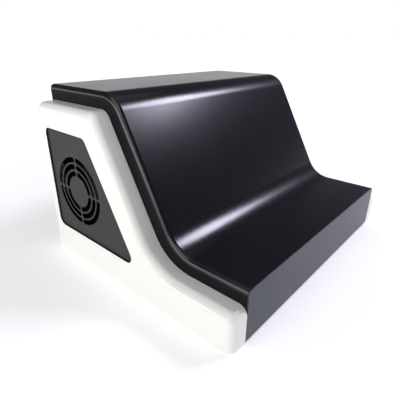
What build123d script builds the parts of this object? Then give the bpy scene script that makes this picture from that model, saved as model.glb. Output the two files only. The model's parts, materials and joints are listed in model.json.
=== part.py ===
from build123d import *
from math import cos, degrees, radians, sin
import os

# A desktop nail dust collector: two white side cheeks, a black bent cover between them that
# makes a low hand rest and a tall rear chamber, a fan behind a grille in each cheek, and a
# pull-out filter in the rear face.  Millimetres, +Z up, low lip facing -Y, origin on the
# ground under the centre of the bounding box.

# ---- Driving dimensions ----
WIDTH = 332.0
DEPTH = 267.0
CHEEK_THICK = 20.0
FOOT_HEIGHT = 3.0
KNOB_PROUD = 9.0
SHEET = 2.0
PLATE = 2.5
GAP = 0.3
SNUG = 0.1
RUNNING_GAP = 0.03
SLIM = 0.01

COVER_TOP = 185.7
LIP_TOP = 52.0
COVER_BACK = 266.0
SLOPE_FOOT = 80.0
SLOPE_HEAD = 155.5
COVER_DIP_R = 34.0
COVER_BROW_R = 29.0
COVER_EDGE_R = 4.5
RIM_TALL = 5.0
CAP_FACE = 1.2

CHEEK_BOTTOM = -1.2
CHEEK_LIP = 36.3
CHEEK_TOP = 170.0
CHEEK_SLOPE_FOOT = 92.0
CHEEK_SLOPE_HEAD = 166.7
CHEEK_CORNER_R = 9.0
CHEEK_DIP_R = 50.0
CHEEK_BROW_R = 12.0
CHEEK_EDGE_R = 8.0
CHEEK_FACE = 3.0
CHEEK_RIM = 4.5

# ---- Shared planes and places ----
HALF_WIDTH = WIDTH / 2
HALF_CORE = HALF_WIDTH - CHEEK_THICK
HALF_INSIDE = HALF_CORE - PLATE
FRONT_Y = -(DEPTH + KNOB_PROUD) / 2
FLOOR = FOOT_HEIGHT
FRONT_TOP = LIP_TOP - SHEET
FRONT_DEEP = 7.0
BACK_PANEL_AT = 262.0


def side_plane(x, facing=1):
    """Plane across the width at x: local x runs back from the lip, local y runs up."""
    return Plane(origin=(x, FRONT_Y, FLOOR), x_dir=(0, facing, 0), z_dir=(facing, 0, 0))


def rear_plane(back):
    """Upright plane facing the rear, back mm behind the lip: local x runs to the left (-X)."""
    return Plane(origin=(0, FRONT_Y + back, FLOOR), x_dir=(-1, 0, 0), z_dir=(0, 1, 0))


def spot(x, back, up):
    """World position from a width position, a distance behind the lip and a height."""
    return Vector(x, FRONT_Y + back, FLOOR + up)


def save(piece, name):
    """Label a finished piece and write its file."""
    piece.part.label = name
    export_step(piece.part, f"parts/{name}.step")


def save_mirrored(piece, name):
    """Write the opposite-hand copy of a piece."""
    with BuildPart() as twin:
        mirror(piece.part, about=Plane.YZ)
    save(twin, name)


os.makedirs("parts", exist_ok=True)

# ---- Cheeks: hollow moulded side shells with a window for the vent panel ----
CHEEK_POINTS = [
    (0, CHEEK_BOTTOM),
    (0, CHEEK_LIP),
    (CHEEK_SLOPE_FOOT, CHEEK_LIP),
    (CHEEK_SLOPE_HEAD, CHEEK_TOP),
    (DEPTH, CHEEK_TOP),
    (DEPTH, CHEEK_BOTTOM),
]
CHEEK_RADII = [CHEEK_CORNER_R, CHEEK_DIP_R, CHEEK_BROW_R, CHEEK_CORNER_R]
# Window corners: front tip, top front, top rear, bottom rear
WINDOW_POINTS = [(115.3, 31.1), (180.0, 144.3), (252.4, 145.0), (251.1, 31.7)]
WINDOW_RADII = [7.5, 7.0, 7.0, 9.0]
PANEL_GAP = 0.3
PANEL_SINK = 1.7
PANEL_FLANGE = 5.0
PANEL_REAR = CHEEK_FACE + 2.0
PEG_R = 1.5
PEG_LONG = 3.0
PEG_SPOTS = [(217.0, 147.7), (217.0, 28.5), (254.8, 86.0), (144.0, 87.4)]
BOSS_R = 4.0
BOSS_HOLE_R = 1.5
BOSS_SPOTS = [(20.0, 18.0), (104.0, 18.0), (250.0, 14.0), (247.0, 157.0)]

with BuildPart() as left_cheek:
    with BuildSketch(side_plane(-HALF_WIDTH)):
        with BuildLine():
            FilletPolyline(*CHEEK_POINTS, radius=CHEEK_RADII)
            Line(CHEEK_POINTS[-1], CHEEK_POINTS[0])
        make_face()
    extrude(amount=CHEEK_THICK)
    outer_edges = left_cheek.faces().sort_by(Axis.X)[0].edges().sort_by(Axis.Z)
    fillet(outer_edges[1:], radius=CHEEK_EDGE_R)
    with BuildSketch(side_plane(-HALF_WIDTH + CHEEK_FACE)):
        with BuildLine():
            FilletPolyline(*CHEEK_POINTS, radius=CHEEK_RADII)
            Line(CHEEK_POINTS[-1], CHEEK_POINTS[0])
        make_face()
        offset(amount=-CHEEK_RIM)
    extrude(amount=CHEEK_THICK, mode=Mode.SUBTRACT)
    with BuildSketch(side_plane(-HALF_WIDTH)):
        with BuildLine():
            FilletPolyline(*WINDOW_POINTS, radius=WINDOW_RADII, close=True)
        make_face()
    extrude(amount=CHEEK_THICK, mode=Mode.SUBTRACT)
    with BuildSketch(side_plane(-HALF_WIDTH + CHEEK_FACE)):
        with Locations(*PEG_SPOTS):
            Circle(PEG_R)
    extrude(amount=PEG_LONG)
    with BuildSketch(side_plane(-HALF_WIDTH + CHEEK_FACE)):
        with Locations(*BOSS_SPOTS):
            Circle(BOSS_R)
            Circle(BOSS_HOLE_R, mode=Mode.SUBTRACT)
    extrude(amount=CHEEK_THICK - CHEEK_FACE)
save(left_cheek, "left_cheek")
save_mirrored(left_cheek, "right_cheek")

# ---- Vent panels: sunk dark plates with three rings of curved slots ----
FAN_BACK = 204.0
FAN_UP = 83.6
SLOT_WIDTH = 5.2
RING_WIDTH = 2.2
SLOT_OUTER_R = 37.0
SLOT_RINGS = 3
SPOKES = 4
SPOKE_WIDTH = 2.0
SLOT_WEB = 1.2
THIN_R = 41.0

with BuildPart() as left_vent_panel:
    with BuildSketch(side_plane(-HALF_WIDTH + PANEL_SINK)):
        with BuildLine():
            FilletPolyline(*WINDOW_POINTS, radius=WINDOW_RADII, close=True)
        make_face()
        offset(amount=-PANEL_GAP)
    extrude(amount=PANEL_REAR - PANEL_SINK)
    with BuildSketch(side_plane(-HALF_WIDTH + CHEEK_FACE)):
        with BuildLine():
            FilletPolyline(*WINDOW_POINTS, radius=WINDOW_RADII, close=True)
        make_face()
        offset(amount=PANEL_FLANGE)
        with Locations(*PEG_SPOTS):
            Circle(PEG_R + SNUG, mode=Mode.SUBTRACT)
    extrude(amount=PANEL_REAR - CHEEK_FACE)
    with BuildSketch(side_plane(-HALF_WIDTH + PANEL_SINK + SLOT_WEB)):
        with Locations((FAN_BACK, FAN_UP)):
            Circle(THIN_R)
    extrude(amount=PANEL_REAR, mode=Mode.SUBTRACT)
    for ring in range(SLOT_RINGS):
        slot_r = SLOT_OUTER_R - SLOT_WIDTH / 2 - ring * (SLOT_WIDTH + RING_WIDTH)
        margin = degrees((SPOKE_WIDTH + SLOT_WIDTH) / 2 / slot_r)
        sweep_angle = 360 / SPOKES - 2 * margin
        for spoke in range(SPOKES):
            start = spoke * 360 / SPOKES + margin
            with BuildSketch(side_plane(-HALF_WIDTH)):
                with BuildLine(mode=Mode.PRIVATE) as slot_line:
                    CenterArc((FAN_BACK, FAN_UP), slot_r, start, sweep_angle)
                SlotArc(slot_line.edge(), height=SLOT_WIDTH)
            extrude(amount=CHEEK_THICK, mode=Mode.SUBTRACT)
save(left_vent_panel, "left_vent_panel")
save_mirrored(left_vent_panel, "right_vent_panel")

# ---- Vent gaskets: thin black rings that line the windows in front of the panels ----
GASKET_WALL = 0.8
GASKET_FIT = 0.05
GASKET_SINK = 0.2

with BuildPart() as left_vent_gasket:
    with BuildSketch(side_plane(-HALF_WIDTH + GASKET_SINK)):
        with BuildLine():
            FilletPolyline(*WINDOW_POINTS, radius=WINDOW_RADII, close=True)
        make_face()
        offset(amount=-GASKET_FIT)
    extrude(amount=PANEL_SINK - GASKET_SINK)
    with BuildSketch(side_plane(-HALF_WIDTH)):
        with BuildLine():
            FilletPolyline(*WINDOW_POINTS, radius=WINDOW_RADII, close=True)
        make_face()
        offset(amount=-GASKET_FIT - GASKET_WALL)
    extrude(amount=CHEEK_THICK, mode=Mode.SUBTRACT)
save(left_vent_gasket, "left_vent_gasket")
save_mirrored(left_vent_gasket, "right_vent_gasket")

# ---- Cover: one bent sheet over the low rest, the slope and the top, its sides rolled down ----
COVER_POINTS = [
    (CAP_FACE, LIP_TOP),
    (SLOPE_FOOT, LIP_TOP),
    (SLOPE_HEAD, COVER_TOP),
    (COVER_BACK, COVER_TOP),
]
COVER_RADII = [COVER_DIP_R, COVER_BROW_R]

with BuildPart() as top_cover:
    with BuildSketch(side_plane(-HALF_CORE)):
        with BuildLine():
            FilletPolyline(*COVER_POINTS, radius=COVER_RADII)
            offset(amount=RIM_TALL, side=Side.RIGHT)
        make_face()
    extrude(amount=2 * HALF_CORE)
    for rim_x in (-HALF_CORE, HALF_CORE):
        with BuildLine(side_plane(rim_x), mode=Mode.PRIVATE) as rim:
            FilletPolyline(*COVER_POINTS, radius=COVER_RADII)
        rim_edges = top_cover.edges().filter_by(lambda edge: rim.line.distance_to(edge @ 0.5) < SLIM)
        fillet(rim_edges, radius=COVER_EDGE_R)
    with BuildSketch(side_plane(-HALF_INSIDE)):
        with BuildLine():
            FilletPolyline(*COVER_POINTS, radius=COVER_RADII)
            offset(amount=2 * RIM_TALL, side=Side.RIGHT)
        make_face()
        with BuildLine():
            FilletPolyline(*COVER_POINTS, radius=COVER_RADII)
            offset(amount=SHEET, side=Side.RIGHT)
        make_face(mode=Mode.SUBTRACT)
    extrude(amount=2 * HALF_INSIDE, mode=Mode.SUBTRACT)
save(top_cover, "top_cover")

# ---- Side plates: black inner walls that carry the fans, with screw flanges ----
FLANGE_WIDE = 14.0
REAR_FLANGE_TOP = 175.7
FAN_HALF = 40.0
FAN_BORE_R = 38.3
FAN_HOLE_PITCH = 71.5
FAN_HOLE_R = 2.15
SCREW_CLEAR_R = 1.7
BACK_SCREW_UPS = [20.0, 95.0, 168.0]
BASE_SCREW_BACKS = [60.0, 130.0, 205.0]
BRACKET_SPOTS = [(40.0, 28.0), (228.0, 161.7)]

with BuildPart() as left_side_plate:
    with BuildSketch(side_plane(-HALF_CORE)):
        with BuildLine():
            FilletPolyline(*COVER_POINTS, radius=COVER_RADII)
            Polyline((COVER_BACK, COVER_TOP), (COVER_BACK, 0), (CAP_FACE, 0), (CAP_FACE, LIP_TOP))
        make_face()
        with BuildLine():
            FilletPolyline(*COVER_POINTS, radius=COVER_RADII)
            offset(amount=RIM_TALL, side=Side.RIGHT)
        make_face(mode=Mode.SUBTRACT)
        with Locations((FAN_BACK, FAN_UP)):
            Circle(FAN_BORE_R, mode=Mode.SUBTRACT)
            with GridLocations(FAN_HOLE_PITCH, FAN_HOLE_PITCH, 2, 2):
                Circle(FAN_HOLE_R, mode=Mode.SUBTRACT)
        with Locations(*BOSS_SPOTS, *BRACKET_SPOTS):
            Circle(SCREW_CLEAR_R, mode=Mode.SUBTRACT)
    extrude(amount=PLATE)
    with BuildSketch(Plane(origin=spot(-HALF_INSIDE, 0, SHEET))):
        with Locations((FLANGE_WIDE / 2, (BACK_PANEL_AT + FRONT_DEEP + GAP) / 2)):
            Rectangle(FLANGE_WIDE, BACK_PANEL_AT - FRONT_DEEP - GAP)
        with Locations(*[(FLANGE_WIDE / 2, back) for back in BASE_SCREW_BACKS]):
            Circle(BOSS_HOLE_R, mode=Mode.SUBTRACT)
    extrude(amount=PLATE)
    with BuildSketch(rear_plane(BACK_PANEL_AT - PLATE)):
        with Locations((HALF_INSIDE - FLANGE_WIDE / 2, (REAR_FLANGE_TOP + SHEET) / 2)):
            Rectangle(FLANGE_WIDE, REAR_FLANGE_TOP - SHEET)
        with Locations(*[(HALF_INSIDE - FLANGE_WIDE / 2, up) for up in BACK_SCREW_UPS]):
            Circle(BOSS_HOLE_R, mode=Mode.SUBTRACT)
    extrude(amount=PLATE)
save(left_side_plate, "left_side_plate")
save_mirrored(left_side_plate, "right_side_plate")

# ---- Front cap: flat face across the lip, with a shallow tray behind it ----
CAP_WALL = 2.0

with BuildPart() as front_cap:
    with BuildSketch(rear_plane(0)):
        with Locations((0, LIP_TOP / 2)):
            Rectangle(2 * HALF_CORE, LIP_TOP)
        fillet(vertices().group_by(Axis.Y)[-1], radius=COVER_EDGE_R)
    extrude(amount=CAP_FACE)
    with BuildSketch(rear_plane(CAP_FACE)):
        with Locations((0, FRONT_TOP / 2)):
            Rectangle(2 * (HALF_INSIDE - GAP), FRONT_TOP - 2 * GAP)
    extrude(amount=FRONT_DEEP - CAP_FACE)
    with BuildSketch(rear_plane(CAP_WALL)):
        with Locations((0, FRONT_TOP / 2)):
            Rectangle(2 * (HALF_INSIDE - GAP - CAP_WALL), FRONT_TOP - 2 * GAP - 2 * CAP_WALL)
    extrude(amount=FRONT_DEEP, mode=Mode.SUBTRACT)
save(front_cap, "front_cap")

# ---- Base plate: flat bottom sheet with air-tight edges and foot holes ----
BASE_BACK = BACK_PANEL_AT - GAP
FOOT_BACKS = [34.0, 236.0]
FOOT_X = 122.0
BASE_SCREW_X = HALF_INSIDE - FLANGE_WIDE / 2
CAP_LIP_UP = 12.0
CAP_LIP_GAP = 1.0

with BuildPart() as base_plate:
    with BuildSketch(Plane(origin=spot(0, 0, 0))):
        with Locations((0, (BASE_BACK + FRONT_DEEP + GAP) / 2)):
            Rectangle(2 * HALF_INSIDE, BASE_BACK - FRONT_DEEP - GAP)
        with Locations(*[(x, back) for x in (-FOOT_X, FOOT_X) for back in FOOT_BACKS]):
            Circle(SCREW_CLEAR_R, mode=Mode.SUBTRACT)
        with Locations(*[(x, back) for x in (-BASE_SCREW_X, BASE_SCREW_X) for back in BASE_SCREW_BACKS]):
            Circle(SCREW_CLEAR_R, mode=Mode.SUBTRACT)
    extrude(amount=SHEET)
    with BuildSketch(Plane(origin=spot(0, FRONT_DEEP + GAP + CAP_WALL / 2, SHEET))):
        Rectangle(2 * (HALF_INSIDE - FLANGE_WIDE - CAP_LIP_GAP), CAP_WALL)
    extrude(amount=CAP_LIP_UP)
save(base_plate, "base_plate")

# ---- Rear panel: window for the filter, and holes for the switch, knob and inlet ----
FILTER_WIDE = 224.0
FILTER_TALL = 108.0
FILTER_UP = 106.0
FIT_GAP = 0.6
WINDOW_R = 5.0
CONTROL_UP = 26.0
SWITCH_X = 60.0
KNOB_X = 0.0
INLET_X = -60.0
SWITCH_BODY = (19.8, 13.0)
SWITCH_BEZEL = (23.0, 16.0)
BUSHING_R = 3.5
INLET_BODY_R = 5.2
PANEL_FACE = BACK_PANEL_AT + PLATE

with BuildPart() as rear_panel:
    with BuildSketch(rear_plane(BACK_PANEL_AT)):
        with Locations((0, (COVER_TOP - SHEET) / 2)):
            Rectangle(2 * HALF_INSIDE, COVER_TOP - SHEET)
        with Locations((0, FILTER_UP)):
            RectangleRounded(
                FILTER_WIDE + 2 * FIT_GAP, FILTER_TALL + 2 * FIT_GAP, WINDOW_R, mode=Mode.SUBTRACT
            )
        with Locations((-SWITCH_X, CONTROL_UP)):
            Rectangle(*SWITCH_BODY, mode=Mode.SUBTRACT)
        with Locations((-KNOB_X, CONTROL_UP)):
            Circle(BUSHING_R, mode=Mode.SUBTRACT)
        with Locations((-INLET_X, CONTROL_UP)):
            Circle(INLET_BODY_R, mode=Mode.SUBTRACT)
        with Locations(*[(x, up) for x in (-BASE_SCREW_X, BASE_SCREW_X) for up in BACK_SCREW_UPS]):
            Circle(SCREW_CLEAR_R, mode=Mode.SUBTRACT)
    extrude(amount=PLATE)
save(rear_panel, "rear_panel")

# ---- Filter bay: sleeve behind the window, with a stop lip at its inner end ----
BAY_DEEP = 20.0
BAY_LIP = 4.0
BAY_AT = BACK_PANEL_AT - BAY_DEEP

with BuildPart() as filter_bay:
    with BuildSketch(rear_plane(BAY_AT)):
        with Locations((0, FILTER_UP)):
            RectangleRounded(
                FILTER_WIDE + 2 * (FIT_GAP + SHEET), FILTER_TALL + 2 * (FIT_GAP + SHEET), WINDOW_R + SHEET
            )
            RectangleRounded(
                FILTER_WIDE - 2 * BAY_LIP, FILTER_TALL - 2 * BAY_LIP, WINDOW_R, mode=Mode.SUBTRACT
            )
    extrude(amount=BAY_DEEP)
    with BuildSketch(rear_plane(BAY_AT + SHEET)):
        with Locations((0, FILTER_UP)):
            RectangleRounded(FILTER_WIDE + 2 * FIT_GAP, FILTER_TALL + 2 * FIT_GAP, WINDOW_R)
    extrude(amount=BAY_DEEP, mode=Mode.SUBTRACT)
save(filter_bay, "filter_bay")

# ---- Filter cartridge: seal, frame, pleated media, slotted grille and pull tab ----
SEAL_THICK = 1.5
SEAL_WIDE = 3.4
SEAL_INNER_R = 4.0
FRAME_WALL = 3.0
FRAME_AT = BAY_AT + SHEET + GAP + SEAL_THICK
GRILLE_AT = PANEL_FACE + GAP
GRILLE_THICK = DEPTH - GRILLE_AT
GRILLE_LAP = 6.0
GRILLE_R = 8.0
GRILLE_EDGE_R = 1.2
GRILLE_SLOT = (34.0, 4.2)
GRILLE_ROWS = 11
GRILLE_COLUMNS = 5
GRILLE_PITCH = (42.0, 8.6)
MEDIA_THICK = 0.9
MEDIA_AT = FRAME_AT + SHEET
PLEAT_PITCH = 8.0
PLEAT_DEEP = 11.0
TAB_WIDE = 22.0
TAB_LONG = 15.0
TAB_THICK = 1.4
TAB_R = 3.0
TAB_INSET = 2.0

with BuildPart() as filter_seal:
    with BuildSketch(rear_plane(FRAME_AT - SEAL_THICK)):
        with Locations((0, FILTER_UP)):
            RectangleRounded(FILTER_WIDE, FILTER_TALL, WINDOW_R)
            RectangleRounded(
                FILTER_WIDE - 2 * SEAL_WIDE, FILTER_TALL - 2 * SEAL_WIDE, SEAL_INNER_R, mode=Mode.SUBTRACT
            )
    extrude(amount=SEAL_THICK)
save(filter_seal, "filter_seal")

with BuildPart() as filter_frame:
    with BuildSketch(rear_plane(FRAME_AT)):
        with Locations((0, FILTER_UP)):
            RectangleRounded(FILTER_WIDE, FILTER_TALL, WINDOW_R)
            Rectangle(FILTER_WIDE - 2 * FRAME_WALL, FILTER_TALL - 2 * FRAME_WALL, mode=Mode.SUBTRACT)
    extrude(amount=GRILLE_AT - FRAME_AT)
save(filter_frame, "filter_frame")

pleats = int((FILTER_WIDE - 2 * FRAME_WALL) // PLEAT_PITCH)
media_half = pleats * PLEAT_PITCH / 2
front_line = []
for step in range(2 * pleats + 1):
    front_line.append((-media_half + step * PLEAT_PITCH / 2, PLEAT_DEEP * (step % 2)))
rear_line = [(x, back + 2 * MEDIA_THICK) for x, back in reversed(front_line)]

with BuildPart() as filter_media:
    with BuildSketch(Plane(origin=spot(0, MEDIA_AT, FILTER_UP - FILTER_TALL / 2 + FRAME_WALL))):
        with BuildLine():
            Polyline(*front_line, *rear_line, close=True)
        make_face()
    extrude(amount=FILTER_TALL - 2 * FRAME_WALL)
save(filter_media, "filter_media")

with BuildPart() as intake_grille:
    with BuildSketch(rear_plane(GRILLE_AT)):
        with Locations((0, FILTER_UP)):
            RectangleRounded(FILTER_WIDE + 2 * GRILLE_LAP, FILTER_TALL + 2 * GRILLE_LAP, GRILLE_R)
            with GridLocations(*GRILLE_PITCH, GRILLE_COLUMNS, GRILLE_ROWS):
                SlotOverall(*GRILLE_SLOT, mode=Mode.SUBTRACT)
    extrude(amount=GRILLE_THICK)
    fillet(intake_grille.faces().sort_by(Axis.Y)[-1].outer_wire().edges(), radius=GRILLE_EDGE_R)
save(intake_grille, "intake_grille")

with BuildPart() as pull_tab:
    with BuildSketch(rear_plane(DEPTH)):
        with Locations((0, FILTER_UP + FILTER_TALL / 2 + GRILLE_LAP - TAB_LONG / 2 - TAB_INSET)):
            RectangleRounded(TAB_WIDE, TAB_LONG, TAB_R)
    extrude(amount=TAB_THICK)
save(pull_tab, "pull_tab")

# ---- Fan: 80 mm axial fan, drawn at its own origin, outlet face at z = 0, then placed ----
FAN_DEEP = 25.0
FAN_CORNER_R = 4.0
FLANGE_DEEP = 4.0
BARREL_R = 40.6
BASE_R = 17.0
BASE_THICK = 3.0
STRUTS = 4
STRUT_WIDE = 4.0
STRUT_BITE = 1.5
STRUT_ANGLE = 45.0
TUBE_R = 5.0
TUBE_TOP = 17.5
BEARING_R = 4.0
BEARING_THICK = 3.0
BEARING_FLOORS = [3.2, 14.0]
SHAFT_R = 1.5
SHAFT_BITE = 0.5
HUB_R = 16.5
HUB_WALL = 1.5
HUB_LOW = 4.5
HUB_TOP = 24.0
HUB_BOSS_R = 3.2
HUB_BOSS_LOW = 18.5
MAGNET_INNER_R = 13.0
MAGNET_LOW = 5.0
MAGNET_TALL = 11.0
STATOR_R = 12.4
STATOR_LOW = 6.0
STATOR_TALL = 8.0
POLE_SLOT_R = 2.4
POLE_SLOT_AT = 9.0
POLE_MOUTH = 1.0
POLES = 4
BLADES = 7
BLADE_THICK = 1.3
BLADE_TIP_R = 37.2
# Each blade section: radius, half width round the hub, lowest and highest axial place, bow
BLADE_SECTIONS = [(15.6, 4.5, 6.5, 21.0, 1.0), (38.0, 10.0, 8.0, 19.5, 1.6)]

with BuildPart() as fan_frame:
    with BuildSketch():
        RectangleRounded(2 * FAN_HALF, 2 * FAN_HALF, FAN_CORNER_R)
        Circle(FAN_BORE_R, mode=Mode.SUBTRACT)
        with GridLocations(FAN_HOLE_PITCH, FAN_HOLE_PITCH, 2, 2):
            Circle(FAN_HOLE_R, mode=Mode.SUBTRACT)
    extrude(amount=FAN_DEEP)
    with BuildSketch(Plane.XY.offset(FLANGE_DEEP)):
        Rectangle(4 * FAN_HALF, 4 * FAN_HALF)
        Circle(BARREL_R, mode=Mode.SUBTRACT)
    extrude(amount=FAN_DEEP - 2 * FLANGE_DEEP, mode=Mode.SUBTRACT)
    with BuildSketch():
        Circle(BASE_R)
        with PolarLocations((BASE_R + FAN_BORE_R) / 2, STRUTS, start_angle=STRUT_ANGLE):
            Rectangle(FAN_BORE_R - BASE_R + 2 * STRUT_BITE, STRUT_WIDE)
    extrude(amount=BASE_THICK)
    with BuildSketch(Plane.XY.offset(BASE_THICK)):
        Circle(TUBE_R)
        Circle(BEARING_R, mode=Mode.SUBTRACT)
    extrude(amount=TUBE_TOP - BASE_THICK)

with BuildPart() as fan_bearings:
    for bearing_floor in BEARING_FLOORS:
        with BuildSketch(Plane.XY.offset(bearing_floor)):
            Circle(BEARING_R)
            Circle(SHAFT_R + RUNNING_GAP, mode=Mode.SUBTRACT)
        extrude(amount=BEARING_THICK)

with BuildPart() as fan_stator:
    with BuildSketch(Plane.XY.offset(STATOR_LOW)):
        Circle(STATOR_R)
        Circle(TUBE_R, mode=Mode.SUBTRACT)
        with PolarLocations(POLE_SLOT_AT, POLES):
            Circle(POLE_SLOT_R, mode=Mode.SUBTRACT)
            Rectangle(STATOR_R, POLE_MOUTH, align=(Align.MIN, Align.CENTER), mode=Mode.SUBTRACT)
    extrude(amount=STATOR_TALL)

with BuildPart() as blade:
    for blade_r, half_wide, blade_low, blade_high, bow in BLADE_SECTIONS:
        with BuildSketch(Plane(origin=(blade_r, 0, 0), x_dir=(0, 1, 0), z_dir=(1, 0, 0))):
            with BuildLine(mode=Mode.PRIVATE) as camber:
                ThreePointArc(
                    (-half_wide, blade_low),
                    (-bow, (blade_low + blade_high) / 2 + bow),
                    (half_wide, blade_high),
                )
            SlotArc(camber.edge(), height=BLADE_THICK)
    loft()

with BuildPart() as fan_rotor:
    with BuildSketch(Plane.XY.offset(HUB_LOW)):
        Circle(HUB_R)
    extrude(amount=HUB_TOP - HUB_LOW)
    fillet(fan_rotor.faces().sort_by(Axis.Z)[-1].edges(), radius=HUB_WALL)
    with PolarLocations(0, BLADES):
        add(blade.part)
    with BuildSketch(Plane.XY.offset(HUB_LOW)):
        Circle(BLADE_TIP_R)
    extrude(amount=FAN_DEEP, mode=Mode.INTERSECT)
    with BuildSketch(Plane.XY.offset(HUB_LOW)):
        Circle(HUB_R - HUB_WALL)
    extrude(amount=HUB_TOP - HUB_LOW - HUB_WALL, mode=Mode.SUBTRACT)
    with BuildSketch(Plane.XY.offset(HUB_BOSS_LOW)):
        Circle(HUB_BOSS_R)
    extrude(amount=HUB_TOP - HUB_WALL - HUB_BOSS_LOW)
    with BuildSketch(Plane.XY.offset(HUB_BOSS_LOW)):
        Circle(SHAFT_R)
    extrude(amount=HUB_TOP - HUB_WALL - HUB_BOSS_LOW + SHAFT_BITE, mode=Mode.SUBTRACT)

with BuildPart() as fan_shaft:
    with BuildSketch(Plane.XY.offset(BEARING_FLOORS[0])):
        Circle(SHAFT_R)
    extrude(amount=HUB_TOP - HUB_WALL + SHAFT_BITE - BEARING_FLOORS[0])

with BuildPart() as fan_magnet:
    with BuildSketch(Plane.XY.offset(MAGNET_LOW)):
        Circle(HUB_R - HUB_WALL)
        Circle(MAGNET_INNER_R, mode=Mode.SUBTRACT)
    extrude(amount=MAGNET_TALL)

FAN_PIECES = {
    "fan_frame": fan_frame,
    "fan_bearings": fan_bearings,
    "fan_stator": fan_stator,
    "fan_rotor": fan_rotor,
    "fan_shaft": fan_shaft,
    "fan_magnet": fan_magnet,
}
HANDS = {"left": -1, "right": 1}

for hand, sign in HANDS.items():
    fan_seat = Plane(
        origin=spot(sign * HALF_INSIDE, FAN_BACK, FAN_UP), x_dir=(0, -sign, 0), z_dir=(-sign, 0, 0)
    )
    for piece_name, blank in FAN_PIECES.items():
        with BuildPart() as placed:
            add(blank.part.moved(fan_seat.location))
        save(placed, f"{hand}_{piece_name}")

# ---- Power switch: housing in the rear panel and a rocker on two trunnions ----
BEZEL_THICK = 2.0
BEZEL_R = 2.0
SWITCH_FIT = 0.2
BEZEL_FACE = PANEL_FACE + BEZEL_THICK
SWITCH_REAR = 248.0
SWITCH_CAVITY = (16.8, 10.4)
CAVITY_AT = 253.5
PIVOT_AT = 258.5
TRUNNION_R = 1.25
TRUNNION_LONG = 1.0
ROCKER_TILT = 7.0
ROCKER_TALL = 9.8
# Rocker outline from its pivot: along the panel, then outward
ROCKER_SHAPE = [(-7.0, 3.5), (-7.0, 8.6), (0.0, 7.0), (7.0, 8.6), (7.0, 3.5), (2.5, -2.5), (-2.5, -2.5)]
TERMINAL = (0.8, 4.8)
TERMINAL_LONG = 6.0
TERMINAL_PITCH = 8.0

with BuildPart() as switch_housing:
    with BuildSketch(rear_plane(SWITCH_REAR)):
        with Locations((-SWITCH_X, CONTROL_UP)):
            Rectangle(SWITCH_BODY[0] - 2 * SWITCH_FIT, SWITCH_BODY[1] - 2 * SWITCH_FIT)
    extrude(amount=PANEL_FACE - SWITCH_REAR)
    with BuildSketch(rear_plane(PANEL_FACE)):
        with Locations((-SWITCH_X, CONTROL_UP)):
            RectangleRounded(*SWITCH_BEZEL, BEZEL_R)
    extrude(amount=BEZEL_THICK)
    with BuildSketch(rear_plane(CAVITY_AT)):
        with Locations((-SWITCH_X, CONTROL_UP)):
            Rectangle(*SWITCH_CAVITY)
    extrude(amount=BEZEL_FACE - CAVITY_AT, mode=Mode.SUBTRACT)
    with BuildSketch(Plane(origin=spot(SWITCH_X, PIVOT_AT, CONTROL_UP))):
        Circle(TRUNNION_R + RUNNING_GAP)
    extrude(amount=SWITCH_BODY[1] / 2, both=True, mode=Mode.SUBTRACT)
save(switch_housing, "switch_housing")

tilt = radians(ROCKER_TILT)
rocker_line = [(a * cos(tilt) - b * sin(tilt), a * sin(tilt) + b * cos(tilt)) for a, b in ROCKER_SHAPE]

with BuildPart() as power_rocker:
    with BuildSketch(Plane(origin=spot(SWITCH_X, PIVOT_AT, CONTROL_UP))):
        with BuildLine():
            Polyline(*rocker_line, close=True)
        make_face()
    extrude(amount=ROCKER_TALL / 2, both=True)
    with BuildSketch(Plane(origin=spot(SWITCH_X, PIVOT_AT, CONTROL_UP))):
        Circle(TRUNNION_R)
    extrude(amount=ROCKER_TALL / 2 + TRUNNION_LONG, both=True)
save(power_rocker, "power_rocker")

with BuildPart() as switch_terminals:
    with BuildSketch(rear_plane(SWITCH_REAR)):
        with Locations((-SWITCH_X, CONTROL_UP)):
            with GridLocations(TERMINAL_PITCH, 0, 2, 1):
                Rectangle(*TERMINAL)
    extrude(amount=-TERMINAL_LONG)
save(switch_terminals, "switch_terminals")

# ---- Speed control: potentiometer on the circuit board, its nut, shaft and knob ----
BOARD_AT = 246.4
BOARD_THICK = 1.6
BOARD_SIZE = (90.0, 32.0)
POT_R = 8.5
POT_BODY_END = 257.5
BUSHING_END = 266.3
KNOB_R = 10.0
KNOB_AT = 266.9
KNOB_FACE = DEPTH + KNOB_PROUD
STEM_R = 3.0
STEM_AT = 250.5
STEM_END = 274.4
NUT_FLATS = 10.0
NUT_THICK = 1.8
KNOB_EDGE = 1.2
FLUTES = 18
FLUTE_R = 0.9
FLUTE_AT = KNOB_R + 0.3
MARK_DEEP = 0.8
MARK_SIZE = (1.4, 7.0)
MARK_AT = 5.5

with BuildPart() as potentiometer:
    with BuildSketch(rear_plane(BOARD_AT + BOARD_THICK)):
        with Locations((-KNOB_X, CONTROL_UP)):
            Circle(POT_R)
    extrude(amount=POT_BODY_END - BOARD_AT - BOARD_THICK)
    with BuildSketch(rear_plane(POT_BODY_END)):
        with Locations((-KNOB_X, CONTROL_UP)):
            Circle(BUSHING_R - SNUG)
    extrude(amount=BUSHING_END - POT_BODY_END)
    with BuildSketch(rear_plane(STEM_AT - GAP)):
        with Locations((-KNOB_X, CONTROL_UP)):
            Circle(STEM_R + RUNNING_GAP)
    extrude(amount=BUSHING_END - STEM_AT + GAP, mode=Mode.SUBTRACT)
save(potentiometer, "potentiometer")

with BuildPart() as bushing_nut:
    with BuildSketch(rear_plane(PANEL_FACE)):
        with Locations((-KNOB_X, CONTROL_UP)):
            RegularPolygon(NUT_FLATS / 2, 6, major_radius=False)
            Circle(BUSHING_R - SNUG, mode=Mode.SUBTRACT)
    extrude(amount=NUT_THICK)
save(bushing_nut, "bushing_nut")

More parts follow.
